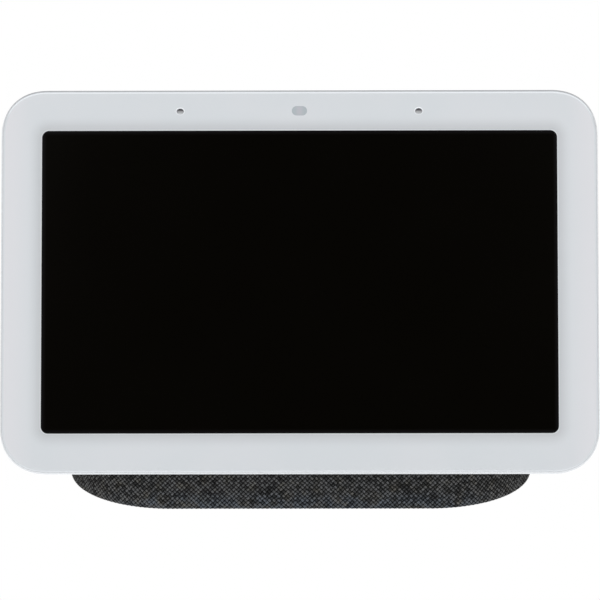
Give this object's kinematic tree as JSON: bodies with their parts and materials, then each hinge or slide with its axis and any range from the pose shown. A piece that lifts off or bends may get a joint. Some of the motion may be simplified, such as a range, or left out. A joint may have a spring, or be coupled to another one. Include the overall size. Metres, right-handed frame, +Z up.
{
  "type": "smart display",
  "caption": "Table-top smart display: a slim tilted touch screen with rounded corners on a fabric-covered speaker base.",
  "frame": {"origin": "on the table, under the centre of the object's outer box", "axes": "+Z up; the screen faces -Y and leans back 25 degrees; +X is to the right of someone looking at the screen"},
  "size_m": [0.1774, 0.0694, 0.1204],
  "materials": {
    "aluminium_sheet": "rolled sheet",
    "antenna_brass": "thin foil",
    "base_plastic": "moulded",
    "black_chip": "moulded",
    "black_rubber": "soft",
    "black_tape": "matte tape",
    "border_ink": "even printed ink, light grey",
    "cable_black": "sleeved wires",
    "circuit_board": "solder resist over glass fibre",
    "clear_acrylic": "milky",
    "clear_glass": "clear, with a fine anti-glare surface",
    "coil_aluminium": "wound wire on a foil former",
    "cone_paper": "pressed paper",
    "connector_white": "moulded",
    "control_plastic": "fine matte",
    "dark_plastic": "moulded black",
    "dark_screen": "unlit screen, near black",
    "flex_amber": "polyimide film",
    "foot_rubber": "matte",
    "housing_plastic": "fine matte",
    "insert_brass": "knurled insert",
    "jack_plastic": "moulded black",
    "led_board": "strip board",
    "magnet_ferrite": "sintered",
    "mark_orange": "matte",
    "pin_brass": "plated",
    "screw_steel": "plain steel",
    "sensor_lens": "translucent grey",
    "spider_fabric": "stiffened cloth",
    "steel_sheet": "pressed sheet",
    "thermal_grey": "soft pad",
    "woven_fabric": "coarse diagonal weave of dark and light grey yarn"
  },
  "bodies": {
    "display_and_base": {"backlight_guide": "clear_acrylic", "backlight_leds": "led_board", "backlight_tray": "steel_sheet", "base_cables": "cable_black", "base_plate": "base_plastic", "base_screws": "screw_steel", "base_shell": "dark_plastic", "board_chips": "black_chip", "board_connectors": "connector_white", "board_screws": "screw_steel", "board_shield": "steel_sheet", "border_print": "border_ink", "cover_glass": "clear_glass", "display_frame": "dark_plastic", "fabric_cover": "woven_fabric", "frame_screws": "screw_steel", "glass_adhesive": "black_tape", "heat_spreader": "aluminium_sheet", "jack_bezel": "base_plastic", "jack_board": "circuit_board", "lcd_panel": "dark_screen", "light_pipe": "sensor_lens", "main_board": "circuit_board", "microphone_gaskets": "black_rubber", "microphones": "steel_sheet", "neck_bracket": "steel_sheet", "neck_inserts": "insert_brass", "neck_screws": "screw_steel", "power_jack": "jack_plastic", "power_jack_pin": "pin_brass", "radar_module": "black_chip", "radio_antennas": "antenna_brass", "rear_housing": "housing_plastic", "rocker_pin": "screw_steel", "rubber_foot": "foot_rubber", "sensor_board": "circuit_board", "sensor_flex": "flex_amber", "speaker_baffle": "dark_plastic", "speaker_basket": "steel_sheet", "speaker_box": "dark_plastic", "speaker_gasket": "black_rubber", "speaker_magnet": "magnet_ferrite", "speaker_screws": "screw_steel", "speaker_spider": "spider_fabric", "speaker_surround": "black_rubber", "speaker_top_plate": "steel_sheet", "speaker_yoke": "steel_sheet", "switch_boards": "circuit_board", "switch_bodies": "dark_plastic", "thermal_pad": "thermal_grey", "touch_film": "dark_screen"},
    "mute_slider": {"mute_slider": "control_plastic", "mute_mark": "mark_orange", "mute_switch_lever": "dark_plastic"},
    "volume_rocker": {"volume_rocker": "control_plastic"},
    "volume_up_plunger": {"volume_up_plunger": "dark_plastic"},
    "volume_down_plunger": {"volume_down_plunger": "dark_plastic"},
    "speaker_cone": {"speaker_cone": "cone_paper", "dust_cap": "cone_paper", "voice_coil": "coil_aluminium"}
  },
  "joints": [
    {"name": "mute_slide", "type": "slide", "parent": "display_and_base", "child": "mute_slider", "axis": [-1, 0, 0], "range_m": [0, 0.003]},
    {"name": "volume_rock", "type": "hinge", "parent": "display_and_base", "child": "volume_rocker", "pos_m": [0.074, 0.00691, 0.09016], "axis": [1, 0, 0], "range_deg": [-1.5, 1.5]},
    {"name": "volume_up_press", "type": "slide", "parent": "display_and_base", "child": "volume_up_plunger", "axis": [0, -0.9063, 0.4226], "range_m": [-0.00025, 0.00025]},
    {"name": "volume_down_press", "type": "slide", "parent": "display_and_base", "child": "volume_down_plunger", "axis": [0, -0.9063, 0.4226], "range_m": [-0.00025, 0.00025]},
    {"name": "cone_travel", "type": "slide", "parent": "display_and_base", "child": "speaker_cone", "axis": [0, 1, 0], "range_m": [-0.0015, 0.0015]}
  ],
  "couplings": [
    {"joint": "volume_up_press", "follows": "volume_rock", "m_per_rad": 0.0095},
    {"joint": "volume_down_press", "follows": "volume_rock", "m_per_rad": -0.0095}
  ]
}
